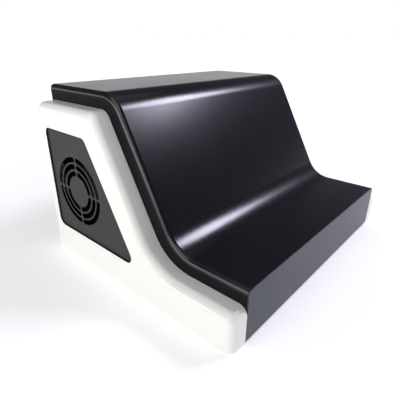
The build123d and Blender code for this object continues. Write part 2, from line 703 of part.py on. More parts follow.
with BuildPart() as knob_stem:
    with BuildSketch(rear_plane(STEM_AT)):
        with Locations((-KNOB_X, CONTROL_UP)):
            Circle(STEM_R)
    extrude(amount=STEM_END - STEM_AT)
save(knob_stem, "knob_stem")

with BuildPart() as speed_knob:
    with BuildSketch(rear_plane(KNOB_AT)):
        with Locations((-KNOB_X, CONTROL_UP)):
            Circle(KNOB_R)
    extrude(amount=KNOB_FACE - KNOB_AT)
    chamfer(speed_knob.faces().sort_by(Axis.Y)[-1].edges(), length=KNOB_EDGE)
    with BuildSketch(rear_plane(KNOB_AT)):
        with Locations((-KNOB_X, CONTROL_UP)):
            with PolarLocations(FLUTE_AT, FLUTES):
                Circle(FLUTE_R)
    extrude(amount=KNOB_FACE - KNOB_AT, mode=Mode.SUBTRACT)
    with BuildSketch(rear_plane(KNOB_FACE - MARK_DEEP)):
        with Locations((-KNOB_X, CONTROL_UP + MARK_AT)):
            Rectangle(*MARK_SIZE)
    extrude(amount=2 * MARK_DEEP, mode=Mode.SUBTRACT)
    with BuildSketch(rear_plane(KNOB_AT)):
        with Locations((-KNOB_X, CONTROL_UP)):
            Circle(STEM_R)
    extrude(amount=STEM_END - KNOB_AT, mode=Mode.SUBTRACT)
save(speed_knob, "speed_knob")

# ---- Power inlet: round low-voltage socket with a centre pin, and its lock nut ----
INLET_FLANGE_R = 6.8
INLET_REAR = 249.0
INLET_MOUTH_R = 3.2
INLET_DEPTH = 10.0
INLET_PIN_R = 1.0
INLET_NUT_FLATS = 14.0
INLET_NUT_THICK = 2.5
INLET_EDGE = 0.6
INLET_TERMINAL_PITCH = 5.0

with BuildPart() as power_inlet:
    with BuildSketch(rear_plane(INLET_REAR)):
        with Locations((-INLET_X, CONTROL_UP)):
            Circle(INLET_BODY_R - SNUG)
    extrude(amount=PANEL_FACE - INLET_REAR)
    with BuildSketch(rear_plane(PANEL_FACE)):
        with Locations((-INLET_X, CONTROL_UP)):
            Circle(INLET_FLANGE_R)
    extrude(amount=BEZEL_THICK)
    chamfer(power_inlet.faces().sort_by(Axis.Y)[-1].edges(), length=INLET_EDGE)
    with BuildSketch(rear_plane(BEZEL_FACE - INLET_DEPTH)):
        with Locations((-INLET_X, CONTROL_UP)):
            Circle(INLET_MOUTH_R)
            Circle(INLET_PIN_R, mode=Mode.SUBTRACT)
    extrude(amount=INLET_DEPTH, mode=Mode.SUBTRACT)
save(power_inlet, "power_inlet")

with BuildPart() as inlet_nut:
    with BuildSketch(rear_plane(BACK_PANEL_AT - INLET_NUT_THICK)):
        with Locations((-INLET_X, CONTROL_UP)):
            RegularPolygon(INLET_NUT_FLATS / 2, 6, major_radius=False)
            Circle(INLET_BODY_R - SNUG, mode=Mode.SUBTRACT)
    extrude(amount=INLET_NUT_THICK)
save(inlet_nut, "inlet_nut")

with BuildPart() as inlet_terminals:
    with BuildSketch(rear_plane(INLET_REAR)):
        with Locations((-INLET_X, CONTROL_UP)):
            with GridLocations(INLET_TERMINAL_PITCH, 0, 2, 1):
                Rectangle(TERMINAL[0], TERMINAL[1] / 2)
    extrude(amount=-TERMINAL_LONG)
save(inlet_terminals, "inlet_terminals")

# ---- Circuit board behind the controls, on four standoffs ----
STANDOFF_PITCH = (78.0, 22.0)
STANDOFF_R = 2.8
CONNECTOR = (10.0, 6.0, 8.0)
FAN_PLUG = (26.0, 17.0)
POWER_PLUG = (20.0, 36.0)
CAPACITOR_R = 4.0
CAPACITOR_TALL = 11.0
CAPACITOR_SPOTS = [(-9.0, 18.0), (9.0, 18.0)]
CHIP = (14.0, 8.0, 2.5)
CHIP_UP = 33.0

with BuildPart() as control_board:
    with BuildSketch(rear_plane(BOARD_AT)):
        with Locations((0, CONTROL_UP)):
            Rectangle(*BOARD_SIZE)
            with GridLocations(*STANDOFF_PITCH, 2, 2):
                Circle(SCREW_CLEAR_R, mode=Mode.SUBTRACT)
    extrude(amount=BOARD_THICK)
save(control_board, "control_board")

with BuildPart() as board_parts:
    with BuildSketch(rear_plane(BOARD_AT)):
        with Locations(*[(side * x, up) for side in (-1, 1) for x, up in (FAN_PLUG, POWER_PLUG)]):
            Rectangle(CONNECTOR[0], CONNECTOR[1])
    extrude(amount=-CONNECTOR[2])
    with BuildSketch(rear_plane(BOARD_AT)):
        with Locations(*CAPACITOR_SPOTS):
            Circle(CAPACITOR_R)
    extrude(amount=-CAPACITOR_TALL)
    with BuildSketch(rear_plane(BOARD_AT)):
        with Locations((0, CHIP_UP)):
            Rectangle(CHIP[0], CHIP[1])
    extrude(amount=-CHIP[2])
save(board_parts, "board_parts")

with BuildPart() as board_standoffs:
    with BuildSketch(rear_plane(BOARD_AT + BOARD_THICK)):
        with Locations((0, CONTROL_UP)):
            with GridLocations(*STANDOFF_PITCH, 2, 2):
                Circle(STANDOFF_R)
                Circle(BOSS_HOLE_R, mode=Mode.SUBTRACT)
    extrude(amount=BACK_PANEL_AT - BOARD_AT - BOARD_THICK)
save(board_standoffs, "board_standoffs")

# ---- Leads held inside: fans, inlet and switch to the board ----
LEAD_R = 1.5
PLUG_FACE = BOARD_AT - CONNECTOR[2]
FAN_LEAD_BEND = 7.5
POWER_LEAD_BEND = 5.0
FAN_LEAD_INSET = 22.0
FAN_LEAD_X = HALF_INSIDE - FAN_LEAD_INSET
FAN_LEAD_ROUTE = [
    (FAN_LEAD_X, 224.0, FAN_UP - FAN_HALF),
    (FAN_LEAD_X, 224.0, 25.0),
    (104.0, 221.0, 9.5),
    (66.0, 212.0, 8.0),
    (34.0, 212.0, 13.5),
    (FAN_PLUG[0], 225.0, FAN_PLUG[1]),
    (FAN_PLUG[0], PLUG_FACE, FAN_PLUG[1]),
]
POWER_LEAD_ROUTE = [
    (60.0, 242.0, CONTROL_UP),
    (60.0, 232.0, CONTROL_UP),
    (48.0, 221.0, 32.0),
    (29.0, 217.0, 36.5),
    (POWER_PLUG[0], 227.0, POWER_PLUG[1]),
    (POWER_PLUG[0], PLUG_FACE, POWER_PLUG[1]),
]


def lead(route, sign, bend_r):
    """Round lead through a route of (width, back, up) points on one side."""
    points = [spot(sign * x, back, up) for x, back, up in route]
    with BuildPart() as cable:
        with BuildLine() as path:
            FilletPolyline(*points, radius=bend_r)
        with BuildSketch(Plane(origin=path.line @ 0, z_dir=path.line % 0)):
            Circle(LEAD_R)
        sweep(path=path.line)
    return cable


for hand, sign in HANDS.items():
    save(lead(FAN_LEAD_ROUTE, sign, FAN_LEAD_BEND), f"{hand}_fan_lead")
save(lead(POWER_LEAD_ROUTE, 1, POWER_LEAD_BEND), "switch_lead")
save(lead(POWER_LEAD_ROUTE, -1, POWER_LEAD_BEND), "inlet_lead")

# ---- Brackets that hold the cover to the side plates ----
BRACKET_LEG = 14.0
BRACKET_DROP = 26.0
BRACKET_LONG = 24.0
BRACKET_TOPS = [FRONT_TOP, COVER_TOP - SHEET]

with BuildPart() as cover_brackets:
    for sign in HANDS.values():
        for (bracket_back, bracket_up), bracket_top in zip(BRACKET_SPOTS, BRACKET_TOPS):
            with BuildSketch(side_plane(sign * HALF_INSIDE)):
                with Locations((bracket_back, bracket_top - BRACKET_DROP / 2)):
                    Rectangle(BRACKET_LONG, BRACKET_DROP)
                with Locations((bracket_back, bracket_up)):
                    Circle(BOSS_HOLE_R, mode=Mode.SUBTRACT)
            extrude(amount=-sign * SHEET)
            bracket_x = sign * (HALF_INSIDE - BRACKET_LEG / 2)
            with BuildSketch(Plane(origin=spot(bracket_x, bracket_back, bracket_top))):
                Rectangle(BRACKET_LEG, BRACKET_LONG)
            extrude(amount=-SHEET)
save(cover_brackets, "cover_brackets")

# ---- Feet ----
FOOT_R = 10.0
FOOT_RECESS_R = 4.2
FOOT_FLOOR = 1.5
FOOT_EDGE = 1.0
FOOT_SPOTS = [(x, back) for x in (-FOOT_X, FOOT_X) for back in FOOT_BACKS]

with BuildPart() as rubber_feet:
    with BuildSketch(Plane(origin=spot(0, 0, -FOOT_HEIGHT))):
        with Locations(*FOOT_SPOTS):
            Circle(FOOT_R)
    extrude(amount=FOOT_HEIGHT)
    chamfer(rubber_feet.faces().filter_by(Axis.Z).group_by(Axis.Z)[0].edges(), length=FOOT_EDGE)
    with BuildSketch(Plane(origin=spot(0, 0, -FOOT_HEIGHT))):
        with Locations(*FOOT_SPOTS):
            Circle(FOOT_RECESS_R)
    extrude(amount=FOOT_FLOOR, mode=Mode.SUBTRACT)
    with BuildSketch(Plane(origin=spot(0, 0, -FOOT_HEIGHT))):
        with Locations(*FOOT_SPOTS):
            Circle(SCREW_CLEAR_R)
    extrude(amount=FOOT_HEIGHT, mode=Mode.SUBTRACT)
save(rubber_feet, "rubber_feet")

# ---- Fasteners: cross-headed screws, each kind as one group ----
CROSS_WIDE = 0.9
CROSS_DEEP = 0.8
HEAD_WALL = 0.4
HEAD_FLAT = 0.7
HEAD_DOME = 0.5
# Each kind of screw: head radius, head height, shank radius, shank length
CHEEK_SCREW = (3.0, 1.6, 1.5, 12.0)
FAN_SCREW = (3.6, 2.2, 2.1, 9.0)
PLATE_SCREW = (3.0, 1.6, 1.5, 6.0)
REAR_SCREW = (3.0, 1.6, 1.5, 7.0)
FOOT_SCREW = (3.0, 1.2, 1.5, 6.0)
BOARD_SCREW = (2.6, 1.6, 1.5, 7.0)


def screw_group(seats, head_r, head_tall, shank_r, shank_long):
    """Pan-head screws, one on each seat plane, heads on the plane's +Z side."""
    with BuildPart() as blank:
        with BuildSketch(Plane.XZ):
            with BuildLine():
                Polyline((0, head_tall), (0, -shank_long), (shank_r, -shank_long), (shank_r, 0), (head_r, 0))
                Line((head_r, 0), (head_r, head_tall * HEAD_WALL))
                RadiusArc(
                    (head_r, head_tall * HEAD_WALL), (head_r * HEAD_FLAT, head_tall), -head_r * HEAD_DOME
                )
                Line((head_r * HEAD_FLAT, head_tall), (0, head_tall))
            make_face()
        revolve(axis=Axis.Z)
        with BuildSketch(Plane.XY.offset(head_tall)):
            Rectangle(head_r, CROSS_WIDE)
            Rectangle(CROSS_WIDE, head_r)
        extrude(amount=-CROSS_DEEP, mode=Mode.SUBTRACT)
    with BuildPart() as group:
        for seat in seats:
            add(blank.part.moved(seat.location))
    return group


cheek_seats = [
    Plane(origin=spot(sign * HALF_INSIDE, back, up), z_dir=(-sign, 0, 0))
    for sign in HANDS.values()
    for back, up in BOSS_SPOTS
]
save(screw_group(cheek_seats, *CHEEK_SCREW), "cheek_screws")

fan_seats = [
    Plane(
        origin=spot(sign * HALF_CORE, FAN_BACK + a * FAN_HOLE_PITCH / 2, FAN_UP + b * FAN_HOLE_PITCH / 2),
        z_dir=(sign, 0, 0),
    )
    for sign in HANDS.values()
    for a in (-1, 1)
    for b in (-1, 1)
]
save(screw_group(fan_seats, *FAN_SCREW), "fan_screws")

bracket_seats = [
    Plane(origin=spot(sign * HALF_CORE, back, up), z_dir=(sign, 0, 0))
    for sign in HANDS.values()
    for back, up in BRACKET_SPOTS
]
save(screw_group(bracket_seats, *PLATE_SCREW), "bracket_screws")

base_seats = [
    Plane(origin=spot(sign * BASE_SCREW_X, back, 0), z_dir=(0, 0, -1))
    for sign in HANDS.values()
    for back in BASE_SCREW_BACKS
]
save(screw_group(base_seats, *PLATE_SCREW), "base_screws")

rear_seats = [
    Plane(origin=spot(sign * BASE_SCREW_X, PANEL_FACE, up), z_dir=(0, 1, 0))
    for sign in HANDS.values()
    for up in BACK_SCREW_UPS
]
save(screw_group(rear_seats, *REAR_SCREW), "rear_screws")

foot_seats = [
    Plane(origin=spot(x, back, FOOT_FLOOR - FOOT_HEIGHT), z_dir=(0, 0, -1)) for x, back in FOOT_SPOTS
]
save(screw_group(foot_seats, *FOOT_SCREW), "foot_screws")

board_seats = [
    Plane(origin=spot(x, BOARD_AT, up), z_dir=(0, -1, 0))
    for x in (-STANDOFF_PITCH[0] / 2, STANDOFF_PITCH[0] / 2)
    for up in (CONTROL_UP - STANDOFF_PITCH[1] / 2, CONTROL_UP + STANDOFF_PITCH[1] / 2)
]
save(screw_group(board_seats, *BOARD_SCREW), "board_screws")
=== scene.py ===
"""Nail dust collector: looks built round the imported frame. Metres, +Z up, low lip facing -Y."""

import json
import math

import bmesh
import bpy
from mathutils import Matrix, Vector


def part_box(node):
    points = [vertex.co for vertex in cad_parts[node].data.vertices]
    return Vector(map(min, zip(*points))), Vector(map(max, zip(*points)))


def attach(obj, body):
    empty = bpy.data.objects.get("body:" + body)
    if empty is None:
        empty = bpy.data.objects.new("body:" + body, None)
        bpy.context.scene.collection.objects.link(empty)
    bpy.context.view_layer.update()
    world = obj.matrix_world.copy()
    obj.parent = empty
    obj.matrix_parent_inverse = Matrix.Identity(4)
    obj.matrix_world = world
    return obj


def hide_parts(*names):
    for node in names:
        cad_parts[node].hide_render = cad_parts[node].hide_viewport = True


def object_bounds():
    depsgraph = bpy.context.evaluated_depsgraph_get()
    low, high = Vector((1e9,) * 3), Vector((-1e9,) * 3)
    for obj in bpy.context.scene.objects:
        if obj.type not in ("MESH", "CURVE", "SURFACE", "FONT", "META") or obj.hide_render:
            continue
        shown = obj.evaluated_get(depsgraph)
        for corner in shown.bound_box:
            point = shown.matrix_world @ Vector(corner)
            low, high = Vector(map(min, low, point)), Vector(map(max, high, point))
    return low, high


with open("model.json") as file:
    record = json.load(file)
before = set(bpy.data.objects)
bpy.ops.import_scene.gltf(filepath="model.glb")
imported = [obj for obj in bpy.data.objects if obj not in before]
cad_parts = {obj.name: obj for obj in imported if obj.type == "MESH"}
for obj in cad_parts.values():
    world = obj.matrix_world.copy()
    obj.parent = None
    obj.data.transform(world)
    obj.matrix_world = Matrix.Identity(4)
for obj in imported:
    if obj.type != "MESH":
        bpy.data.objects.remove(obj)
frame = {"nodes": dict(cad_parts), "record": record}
cad_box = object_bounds()
NODES = frame["nodes"]
MM = 0.001

# ---- Places read from the frame ----
cheek_low, cheek_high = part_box("left_cheek")
cap_low, cap_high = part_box("front_cap")
grille_low, grille_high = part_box("intake_grille")
tab_low, tab_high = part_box("pull_tab")
FRONT = cheek_low.y
FLOOR = cap_low.z
HALF_WIDTH = -cheek_low.x
HALF_CORE = -cheek_high.x


# ---- Outlines ----
SHARP_STEPS = 3


def rounded(points, radii, inset, steps, sharp=()):
    """Counter-clockwise outline with an arc at each corner, moved inwards by inset."""
    path = []
    for i, radius in enumerate(radii):
        count = SHARP_STEPS if i in sharp else steps
        before, here, after = Vector(points[i - 1]), Vector(points[i]), Vector(points[(i + 1) % len(points)])
        arrive, leave = (here - before).normalized(), (after - here).normalized()
        turn = math.atan2(arrive.x * leave.y - arrive.y * leave.x, arrive.dot(leave))
        side = 1 if turn > 0 else -1
        normal = Vector((-arrive.y, arrive.x)) * side
        centre = here - arrive * radius * math.tan(abs(turn) / 2) + normal * radius
        reach = -normal * (radius - side * inset)
        for k in range(count + 1):
            spin = Matrix.Rotation(turn * k / count, 2)
            path.append(centre + spin @ reach)
    return path


def bent(points, radii, steps):
    """Open path with an arc at each inner corner: (point, left-hand normal) pairs."""
    first, last = Vector(points[0]), Vector(points[-1])
    start = (Vector(points[1]) - first).normalized()
    end = (last - Vector(points[-2])).normalized()
    path = [(first, Vector((-start.y, start.x)))]
    for i, radius in enumerate(radii, 1):
        before, here, after = Vector(points[i - 1]), Vector(points[i]), Vector(points[i + 1])
        arrive, leave = (here - before).normalized(), (after - here).normalized()
        turn = math.atan2(arrive.x * leave.y - arrive.y * leave.x, arrive.dot(leave))
        side = 1 if turn > 0 else -1
        left = Vector((-arrive.y, arrive.x))
        centre = here - arrive * radius * math.tan(abs(turn) / 2) + left * side * radius
        for k in range(steps + 1):
            spin = Matrix.Rotation(turn * k / steps, 2)
            path.append((centre - spin @ left * side * radius, spin @ left))
    path.append((last, Vector((-end.y, end.x))))
    return path


# ---- Mesh building ----
SHARP_ANGLE = 35


def ring(bm, places):
    """Vertices at the places given, in order."""
    return [bm.verts.new(p) for p in places]


def bridge(bm, first, second):
    """Band of quads between two closed rings of the same length."""
    count = len(first)
    for i in range(count):
        j = (i + 1) % count
        bm.faces.new((first[i], first[j], second[j], second[i]))


def fill_between(bm, *loops):
    """Flat triangulated area bounded by closed loops of vertices."""
    edges = []
    for loop in loops:
        for i, vert in enumerate(loop):
            pair = (vert, loop[(i + 1) % len(loop)])
            edges.append(bm.edges.get(pair) or bm.edges.new(pair))
    bmesh.ops.triangle_fill(bm, edges=edges, use_beauty=True)


def piece(name, bm, slot, body, node):
    """Finish a mesh as a piece that rides a body and stands for the CAD node named."""
    bmesh.ops.recalc_face_normals(bm, faces=bm.faces)
    mesh = bpy.data.meshes.new(name)
    bm.to_mesh(mesh)
    bm.free()
    mesh.shade_smooth()
    mesh.set_sharp_from_angle(angle=math.radians(SHARP_ANGLE))
    made = bpy.data.objects.new(name, mesh)
    bpy.context.scene.collection.objects.link(made)
    made.data.materials.append(MATERIALS[slot])
    weighted = made.modifiers.new("weighted", "WEIGHTED_NORMAL")
    weighted.keep_sharp = True
    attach(made, body)
    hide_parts(node)
    return made


def at_side(sign, inward, u, v):
    """Point of a side piece: inward from the cheek's face, u behind the lip, v above the cap's foot."""
    return Vector((sign * (HALF_WIDTH - inward), FRONT + u, FLOOR + v))


# ---- Materials ----
RAMP_LOW, RAMP_HIGH = 0.3, 0.7
ROUGHNESS_SCALE = 2.3
LEAST_ROUGHNESS = 0.02
BUMP_STRENGTH = 0.6


def procedural(name, colour, roughness, spread, grain, bump, mottle, rough_spread=0.06, **sockets):
    """Moulded or painted finish: mottled colour, uneven roughness and a fine bump, all from noise."""
    material = bpy.data.materials.new(name)
    material.use_nodes = True
    tree = material.node_tree
    shader = tree.nodes["Principled BSDF"]
    for socket, value in sockets.items():
        shader.inputs[socket.replace("_", " ")].default_value = value
    where = tree.nodes.new("ShaderNodeTexCoord")

    def noise(scale, detail):
        node = tree.nodes.new("ShaderNodeTexNoise")
        node.inputs["Scale"].default_value = scale
        node.inputs["Detail"].default_value = detail
        tree.links.new(where.outputs["Object"], node.inputs["Vector"])
        return node.outputs["Fac"]

    ramp = tree.nodes.new("ShaderNodeValToRGB")
    ramp.color_ramp.elements[0].position = RAMP_LOW
    ramp.color_ramp.elements[1].position = RAMP_HIGH
    ramp.color_ramp.elements[0].color = (*[c * (1 - spread) for c in colour], 1)
    ramp.color_ramp.elements[1].color = (*[min(1, c * (1 + spread)) for c in colour], 1)
    tree.links.new(noise(mottle, 3), ramp.inputs["Fac"])
    tree.links.new(ramp.outputs["Color"], shader.inputs["Base Color"])

    span = tree.nodes.new("ShaderNodeMapRange")
    span.inputs["To Min"].default_value = max(LEAST_ROUGHNESS, roughness - rough_spread)
    span.inputs["To Max"].default_value = roughness + rough_spread
    tree.links.new(noise(mottle * ROUGHNESS_SCALE, 4), span.inputs["Value"])
    tree.links.new(span.outputs["Result"], shader.inputs["Roughness"])

    relief = tree.nodes.new("ShaderNodeBump")
    relief.inputs["Strength"].default_value = BUMP_STRENGTH
    relief.inputs["Distance"].default_value = bump
    tree.links.new(noise(grain, 2), relief.inputs["Height"])
    tree.links.new(relief.outputs["Normal"], shader.inputs["Normal"])
    return material


MATERIALS = {
    "white_shell": procedural(
        "gloss_white_abs", (0.86, 0.86, 0.82), 0.24, 0.012, 260, 0.00002, 9, 0.03,
        Coat_Weight=0.25, Coat_Roughness=0.12,
    ),
    "cover_paint": procedural(
        "satin_black_paint", (0.0015, 0.0015, 0.0045), 0.24, 0.2, 500, 0.000003, 12, 0.015,
        Specular_IOR_Level=0.6,
    ),
    "front_cap_paint": procedural(
        "satin_grey_paint", (0.008, 0.013, 0.026), 0.36, 0.05, 500, 0.000003, 12, 0.02,
    ),
    "gasket_rubber": procedural(
        "gasket_rubber", (0.008, 0.008, 0.008), 0.7, 0.15, 1500, 0.00001, 60,
        Specular_IOR_Level=0.15,
    ),
    "dark_panel": procedural(
        "dark_grey_moulding_with_painted_shade", (0.030, 0.028, 0.031), 0.6, 0.08, 1800, 0.00003, 25,
        Specular_IOR_Level=0.3,
    ),
    "black_plastic": procedural(
        "black_side_sheet", (0.012, 0.012, 0.014), 0.5, 0.15, 1500, 0.00001, 20,
        Specular_IOR_Level=0.03,
    ),
    "base_sheet": procedural("powder_coat_black", (0.018, 0.018, 0.019), 0.5, 0.15, 1400, 0.00004, 20),
    "seal_foam": procedural("seal_foam", (0.03, 0.03, 0.03), 0.9, 0.2, 1200, 0.0002, 60),
    "frame_plastic": procedural("frame_moulding", (0.03, 0.03, 0.032), 0.5, 0.1, 1500, 0.00003, 25),
    "filter_cloth": procedural(
        "non_woven_filter", (0.72, 0.72, 0.67), 0.92, 0.08, 1600, 0.00025, 45, 0.05,
        Sheen_Weight=0.3, Sheen_Roughness=0.6,
    ),
    "grille_plastic": procedural("grille_moulding", (0.032, 0.032, 0.034), 0.46, 0.1, 1800, 0.00003, 25),
    "tab_rubber": procedural("grey_tab", (0.22, 0.22, 0.235), 0.7, 0.1, 1500, 0.00005, 60),
    "switch_plastic": procedural("switch_moulding", (0.012, 0.012, 0.012), 0.3, 0.1, 1200, 0.00001, 60),
    "rocker_plastic": procedural("rocker_moulding", (0.02, 0.02, 0.02), 0.22, 0.1, 1200, 0.00001, 60),
    "contact_brass": procedural(
        "bright_brass", (0.78, 0.57, 0.25), 0.25, 0.08, 1500, 0.00001, 90,
        Metallic=1.0,
    ),
    "plated_steel": procedural(
        "zinc_plate", (0.58, 0.59, 0.60), 0.33, 0.1, 900, 0.00002, 70, 0.1,
        Metallic=1.0,
    ),
    "shaft_steel": procedural(
        "ground_steel", (0.62, 0.62, 0.62), 0.22, 0.06, 1800, 0.00001, 90,
        Metallic=1.0,
    ),
    "knob_plastic": procedural("knob_moulding", (0.022, 0.022, 0.023), 0.45, 0.12, 1600, 0.00003, 50),
    "board_laminate": procedural("green_solder_mask", (0.012, 0.10, 0.035), 0.28, 0.2, 700, 0.00003, 120),
    "component_black": procedural(
        "component_moulding", (0.025, 0.025, 0.027), 0.5, 0.15, 1500, 0.00003, 80,
    ),
    "lead_jacket": procedural("soft_jacket", (0.015, 0.015, 0.015), 0.45, 0.15, 1500, 0.00002, 80),
    "foot_rubber": procedural("black_rubber", (0.018, 0.018, 0.018), 0.82, 0.15, 1500, 0.00008, 60),
    "screw_steel": procedural(
        "black_oxide", (0.10, 0.10, 0.105), 0.38, 0.15, 1500, 0.00002, 120, 0.1,
        Metallic=1.0,
    ),
    "fan_plastic": procedural("fan_moulding", (0.008, 0.008, 0.009), 0.42, 0.12, 1500, 0.00002, 40),
    "stator_steel": procedural(
        "laminated_core", (0.42, 0.30, 0.20), 0.45, 0.25, 1200, 0.00005, 150, 0.1,
        Metallic=0.8,
    ),
    "magnet_ferrite": procedural("sintered_ferrite", (0.06, 0.06, 0.06), 0.75, 0.2, 1500, 0.00005, 80),
}


# Painted shade: the vent panels' slot walls and the walls of the gap round them, deeper than the panel face,
# are coloured black and lose their reflection.
SHADE_DEPTH = 1.8 * MM
SHADE_BLUR = 0.05 * MM
PAINTED_SHADE_BLACK = (0.002, 0.002, 0.002, 1)


def paint_shade_behind(material, depth):
    """Paint shade into a material: black, with its reflection taken away, where it lies deeper than depth
    under the cheeks' outer faces.
    """
    tree = material.node_tree
    shader = tree.nodes["Principled BSDF"]
    face_colour = shader.inputs["Base Color"].links[0].from_socket
    where = tree.nodes.new("ShaderNodeTexCoord")
    split = tree.nodes.new("ShaderNodeSeparateXYZ")
    outward = tree.nodes.new("ShaderNodeMath")
    outward.operation = "ABSOLUTE"
    # Painted shade mask: 0 deeper than depth under the cheek face, rising to 1 across the blur towards the
    # face.
    edge = tree.nodes.new("ShaderNodeMapRange")
    edge.inputs["From Min"].default_value = HALF_WIDTH - depth - SHADE_BLUR
    edge.inputs["From Max"].default_value = HALF_WIDTH - depth
    shade_mix = tree.nodes.new("ShaderNodeMix")
    shade_mix.data_type = "RGBA"
    shade_mix.inputs["A"].default_value = PAINTED_SHADE_BLACK
    tree.links.new(where.outputs["Object"], split.inputs["Vector"])
    tree.links.new(split.outputs["X"], outward.inputs[0])
    tree.links.new(outward.outputs["Value"], edge.inputs["Value"])
    tree.links.new(edge.outputs["Result"], shade_mix.inputs["Factor"])
    tree.links.new(face_colour, shade_mix.inputs["B"])
    tree.links.new(shade_mix.outputs["Result"], shader.inputs["Base Color"])
    # The painted shade also takes the reflection away in the deep part.
    shaded_specular = tree.nodes.new("ShaderNodeMapRange")
    shaded_specular.inputs["To Max"].default_value = shader.inputs["Specular IOR Level"].default_value
    tree.links.new(edge.outputs["Result"], shaded_specular.inputs["Value"])
    tree.links.new(shaded_specular.outputs["Result"], shader.inputs["Specular IOR Level"])


# Painted shade in the vent panels' slots and in the gap round each panel.
paint_shade_behind(MATERIALS["dark_panel"], SHADE_DEPTH)
SLOT_OF = {part["node"]: part["material_slot"] for part in frame["record"]["subparts"]}
for node_name, node in NODES.items():
    node.data.materials.clear()
    node.data.materials.append(MATERIALS[SLOT_OF[node_name]])

# ---- Cheeks: soft-edged hollow shells ----
CHEEK_BOTTOM = -1.2
CHEEK_OUTLINE = [(0, CHEEK_BOTTOM), (267, CHEEK_BOTTOM), (267, 170), (166.7, 170), (92, 36.3), (0, 36.3)]
CHEEK_RADII = [r * MM for r in (0, 0, 9, 12, 50, 9)]
SHARP_R = 0.5 * MM
SHARP_CORNERS = (0, 1)
WINDOW_CORNERS = [(115.3, 31.1), (251.1, 31.7), (252.4, 145.0), (180.0, 144.3)]
WINDOW_POINTS = [(u * MM, v * MM) for u, v in WINDOW_CORNERS]
WINDOW_RADII = [r * MM for r in (7.5, 9, 7, 7)]
CHEEK_EDGE_R = 8.5 * MM
CHEEK_RIM = 4.5 * MM
CHEEK_FACE = 3 * MM
CHEEK_THICK = HALF_WIDTH - HALF_CORE
EDGE_BREAK = 0.4 * MM
WINDOW_EDGE_R = 0.3 * MM
ARC_STEPS = 10
OUTLINE_STEPS = 16
WINDOW_EDGE_STEPS = 4


def quarter(radius, steps=ARC_STEPS):
    """(inset, depth) pairs of a quarter round, from the side wall to the face."""
    turns = [math.pi / 2 * k / steps for k in range(steps + 1)]
    return [(radius * (1 - math.cos(t)), radius * (1 - math.sin(t))) for t in turns]


def cheek_outline(inset, bottom_inset=0.0):
    """Cheek outline drawn in by inset, its two bottom corners sharp and its foot line drawn in on its own."""
    points = [Vector((u * MM, v * MM)) for u, v in CHEEK_OUTLINE]
    drop = Vector((0, inset - bottom_inset))
    points[0] -= drop
    points[1] -= drop
    radii = [inset + SHARP_R, inset + SHARP_R] + CHEEK_RADII[2:]
    return rounded(points, radii, inset, OUTLINE_STEPS, SHARP_CORNERS)


def cheek(sign, name):
    bm = bmesh.new()

    def outline(inset, inward, bottom_inset=0.0):
        return ring(bm, [at_side(sign, inward, *p) for p in cheek_outline(inset, bottom_inset)])

    def loop(points, radii, inset, inward):
        path = rounded(points, radii, inset, OUTLINE_STEPS)
        return ring(bm, [at_side(sign, inward, *p) for p in path])

    rim = outline(EDGE_BREAK, CHEEK_THICK, EDGE_BREAK)
    first = rim
    levels = [(0, CHEEK_THICK - EDGE_BREAK)] + quarter(CHEEK_EDGE_R)
    for inset, inward in levels:
        after = outline(inset, inward, max(0, EDGE_BREAK - inward))
        bridge(bm, rim, after)
        rim = after
    window = loop(WINDOW_POINTS, WINDOW_RADII, -WINDOW_EDGE_R, 0)
    fill_between(bm, rim, window)
    for inset, depth in reversed(quarter(WINDOW_EDGE_R, WINDOW_EDGE_STEPS)):
        if inset < WINDOW_EDGE_R:
            after = loop(WINDOW_POINTS, WINDOW_RADII, -inset, depth)
            bridge(bm, window, after)
            window = after
    after = loop(WINDOW_POINTS, WINDOW_RADII, 0, CHEEK_FACE)
    bridge(bm, window, after)
    pocket = outline(CHEEK_RIM, CHEEK_FACE, CHEEK_RIM)
    fill_between(bm, after, pocket)
    lip = outline(CHEEK_RIM, CHEEK_THICK, CHEEK_RIM)
    bridge(bm, pocket, lip)
    bridge(bm, lip, first)
    return piece(name, bm, "white_shell", "housing", name.replace("_shell", ""))


cheek(-1, "left_cheek_shell")
cheek(1, "right_cheek_shell")

# ---- Cover: one bent sheet with rolled side edges ----
COVER_PROFILE = [(1.2, 52), (80, 52), (155.5, 185.7), (266, 185.7)]
COVER_POINTS = [(u * MM, v * MM) for u, v in COVER_PROFILE]
COVER_RADII = [34 * MM, 29 * MM]
SHEET = 2 * MM
PLATE = 2.5 * MM
ROLL_R = 4.5 * MM
RIM_TALL = 5 * MM
END_BREAK = 0.4 * MM
ROLL_STEPS = 12
BEND_STEPS = 32


